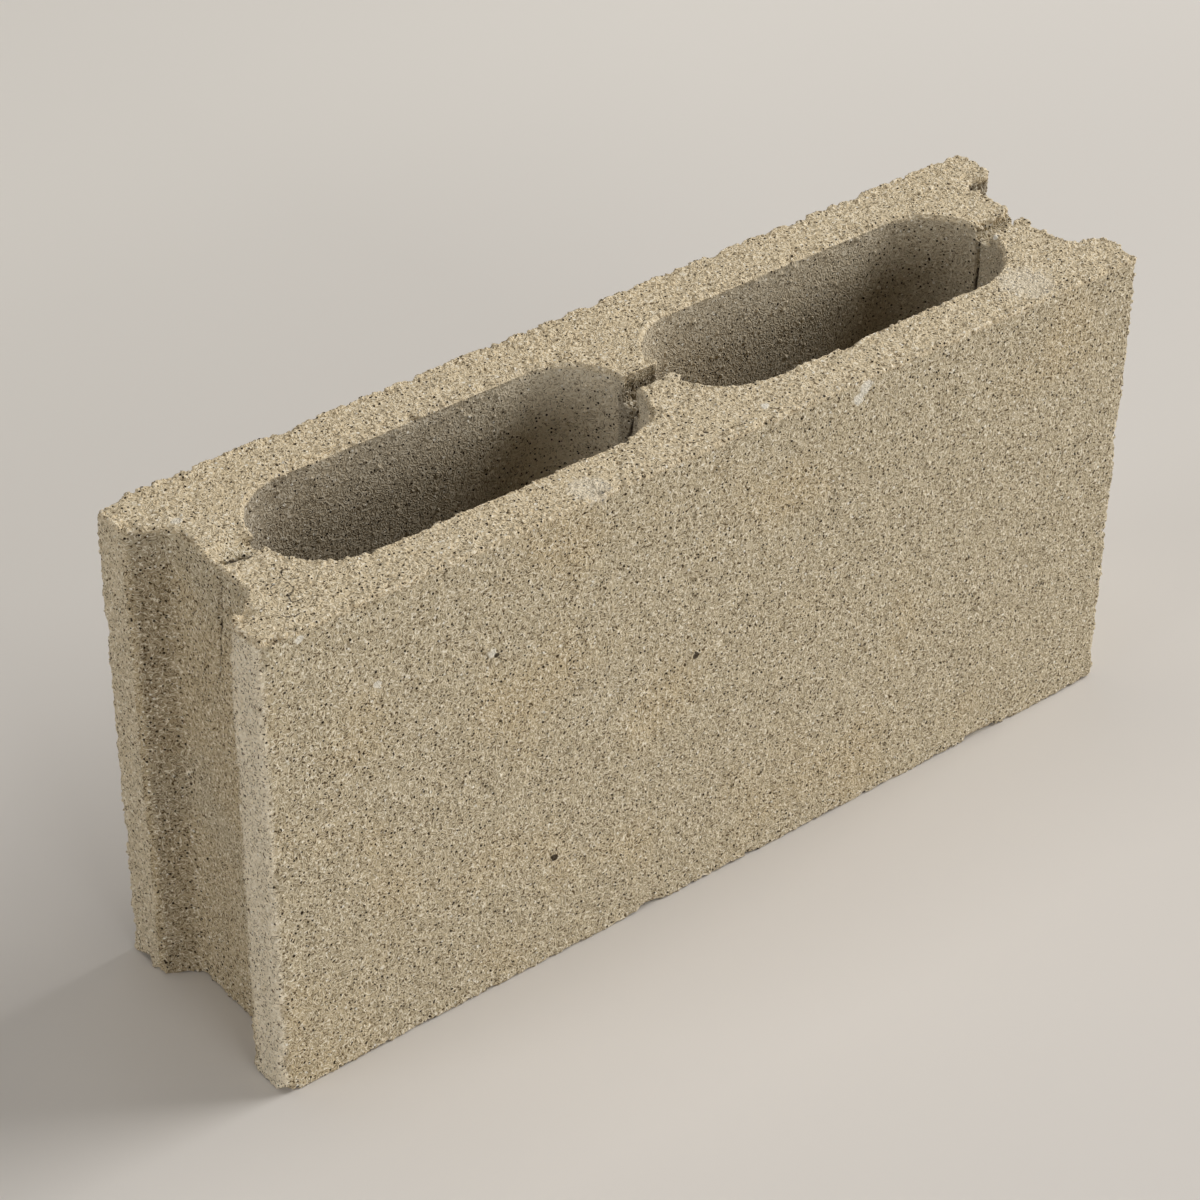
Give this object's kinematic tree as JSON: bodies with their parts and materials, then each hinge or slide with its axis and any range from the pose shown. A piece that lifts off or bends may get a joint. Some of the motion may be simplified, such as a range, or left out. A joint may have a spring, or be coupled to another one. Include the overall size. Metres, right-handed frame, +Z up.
{
  "type": "concrete block",
  "caption": "Narrow hollow concrete building block with round-ended cores, open end grooves and core-bar slots across its webs, cast as one piece.",
  "frame": {"origin": "centre of the block's footprint, on its underside", "axes": "+X along the block's length, +Y through its thickness, +Z up along the cores, with the core-bar slots on top"},
  "size_m": [0.4, 0.1, 0.2],
  "materials": {
    "concrete": "dry-cast grey-buff concrete, matt and granular, with fine pits and pale sand grains"
  },
  "bodies": {
    "root": {"block": "concrete"}
  },
  "joints": []
}
